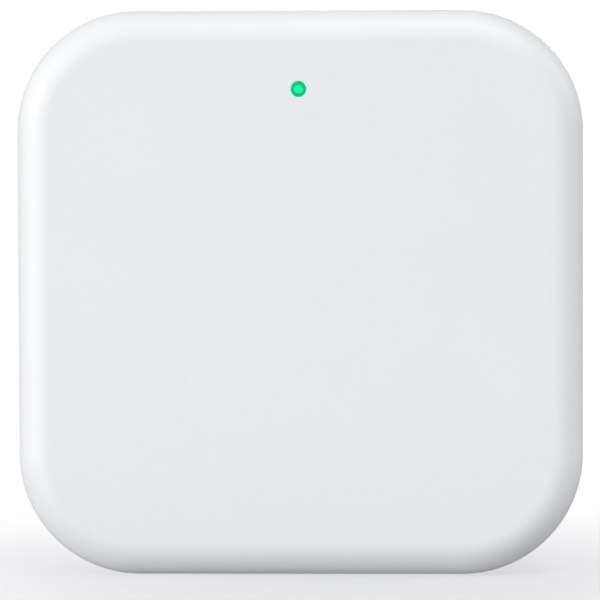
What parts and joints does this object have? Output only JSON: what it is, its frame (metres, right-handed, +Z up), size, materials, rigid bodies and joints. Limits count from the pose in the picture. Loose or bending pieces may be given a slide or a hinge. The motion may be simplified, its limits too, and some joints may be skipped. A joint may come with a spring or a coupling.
{
  "type": "smart home hub",
  "caption": "Rounded square wireless hub standing on its edge, with a status light near the top of its plain face, a USB power inlet above and a recessed reset key behind.",
  "frame": {"origin": "middle of the hub's box at the surface that it stands on: under the bottom edge, halfway between the face and the plane of the rear feet", "axes": "+Z up, from the edge it stands on to the edge with the power inlet; the face with the status light looks towards -Y; the rear cover, feet and reset key look towards +Y; +X to the right as seen from the face"},
  "size_m": [0.07, 0.026, 0.07],
  "materials": {
    "white_abs": "moulded ABS with a fine spark texture, satin",
    "grey_abs": "moulded ABS, satin",
    "green_lens": "clear acrylic, lit green",
    "black_foam": "closed-cell foam",
    "grey_rubber": "matte silicone rubber",
    "label_film": "satin polyester film, blank",
    "green_board": "glass-fibre board under green solder mask",
    "black_board": "glass-fibre board under black solder mask",
    "black_epoxy": "moulded epoxy",
    "tinned_steel": "tin plated",
    "aluminium": "drawn, clear sleeve",
    "zinc_steel": "zinc plated",
    "ferrite": "pressed powder core",
    "ceramic": "fired ceramic",
    "bronze_spring": "rolled spring strip"
  },
  "bodies": {
    "housing": {"front_cover": "white_abs", "rear_cover": "white_abs", "rubber_foot_1": "grey_rubber", "rubber_foot_2": "grey_rubber", "rubber_foot_3": "grey_rubber", "rubber_foot_4": "grey_rubber", "blank_label": "label_film", "case_screw_1": "zinc_steel", "case_screw_2": "zinc_steel", "case_screw_3": "zinc_steel", "case_screw_4": "zinc_steel", "board_screw_1": "zinc_steel", "board_screw_2": "zinc_steel", "board_screw_3": "zinc_steel", "board_screw_4": "zinc_steel", "light_pipe": "green_lens", "light_baffle": "black_foam", "status_led": "ceramic", "main_board": "green_board", "usb_shell": "tinned_steel", "usb_tongue": "black_epoxy", "wifi_board": "black_board", "wifi_shield": "tinned_steel", "wifi_chip": "black_epoxy", "radio_board": "black_board", "radio_shield": "tinned_steel", "radio_chip": "black_epoxy", "input_capacitor_base": "black_epoxy", "input_capacitor_can": "aluminium", "output_capacitor_base": "black_epoxy", "output_capacitor_can": "aluminium", "memory_chip": "black_epoxy", "regulator_chip": "black_epoxy", "surge_diode": "black_epoxy", "input_fuse": "ceramic", "clock_crystal": "tinned_steel", "chip_antenna": "ceramic", "power_inductor": "ferrite", "switch_base": "black_epoxy", "switch_contact_1": "tinned_steel", "switch_contact_2": "tinned_steel", "switch_plate": "tinned_steel", "switch_dome": "bronze_spring"},
    "reset_key": {"reset_button": "grey_abs"},
    "plunger": {"switch_plunger": "black_epoxy"}
  },
  "joints": [
    {"name": "reset_press", "type": "slide", "parent": "housing", "child": "reset_key", "axis": [0, -1, 0], "range_m": [0, 0.0005], "stiffness_N_per_m": 4000},
    {"name": "plunger_press", "type": "slide", "parent": "housing", "child": "plunger", "axis": [0, -1, 0], "range_m": [0, 0.00025]}
  ],
  "couplings": [
    {"joint": "plunger_press", "follows": "reset_press", "ratio": 0.5}
  ]
}
